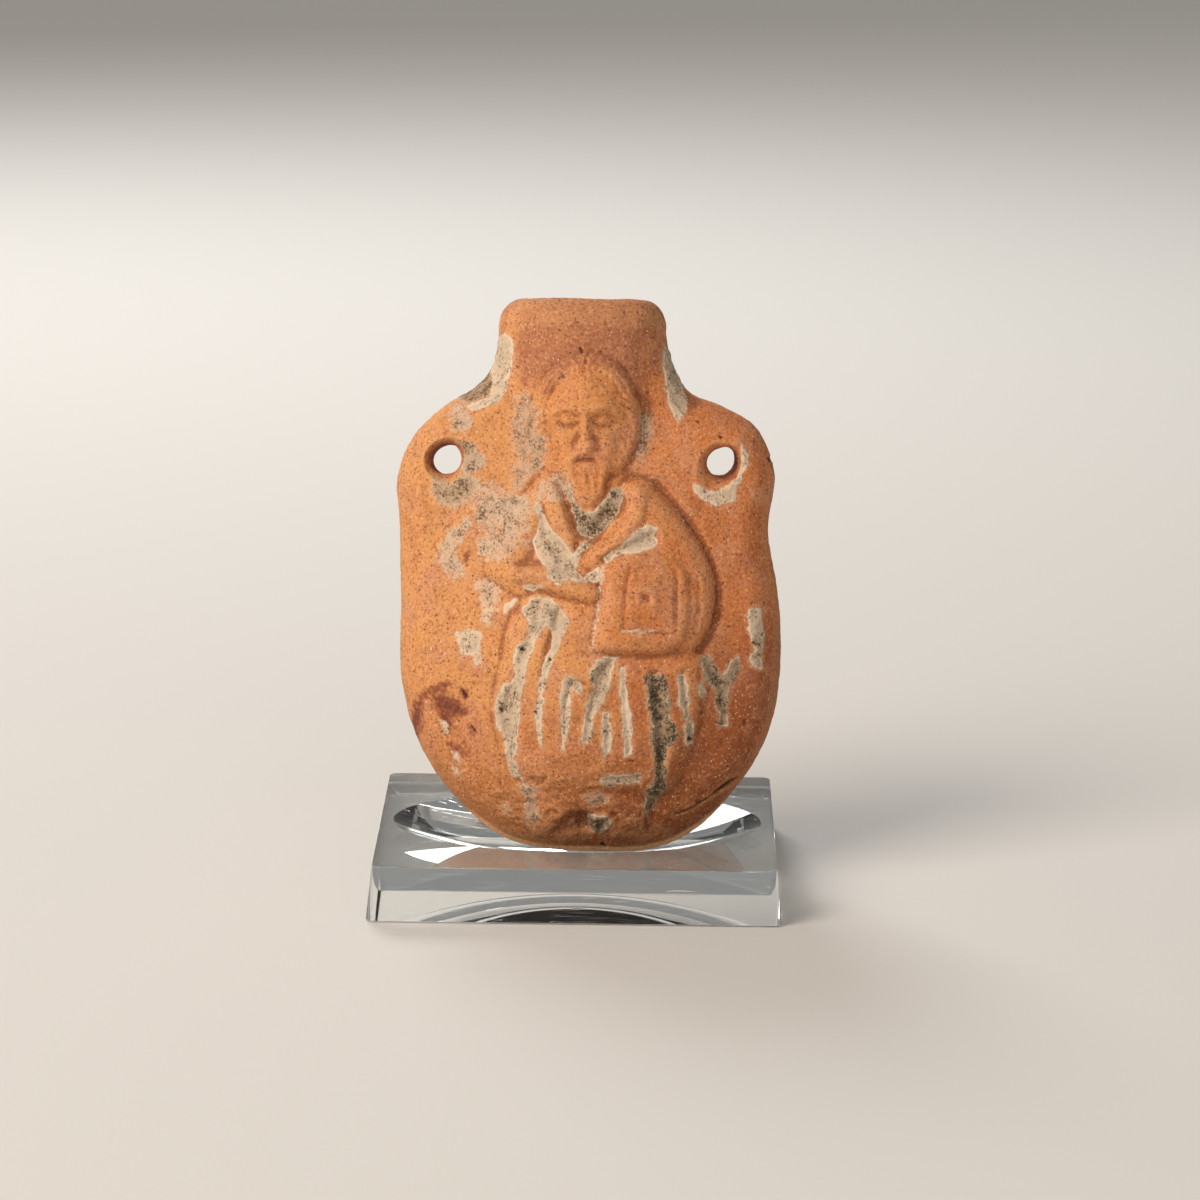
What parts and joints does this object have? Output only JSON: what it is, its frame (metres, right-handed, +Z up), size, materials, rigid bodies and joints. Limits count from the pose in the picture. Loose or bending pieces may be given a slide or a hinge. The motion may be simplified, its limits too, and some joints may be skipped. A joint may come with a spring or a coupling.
{
  "type": "pilgrim flask",
  "caption": "Small moulded terracotta flask with pierced shoulders and a robed figure in relief, leaning back in a clear dished stand.",
  "frame": {"origin": "middle of the stand's underside", "axes": "+Z up, -Y towards the flask's relief front, +X to the viewer's right"},
  "size_m": [0.0513, 0.0512, 0.073],
  "materials": {
    "terracotta": "matt, sandy fired clay with burial crust",
    "clear_acrylic": "polished, clear"
  },
  "bodies": {
    "root": {"flask": "terracotta", "display_stand": "clear_acrylic"}
  },
  "joints": []
}
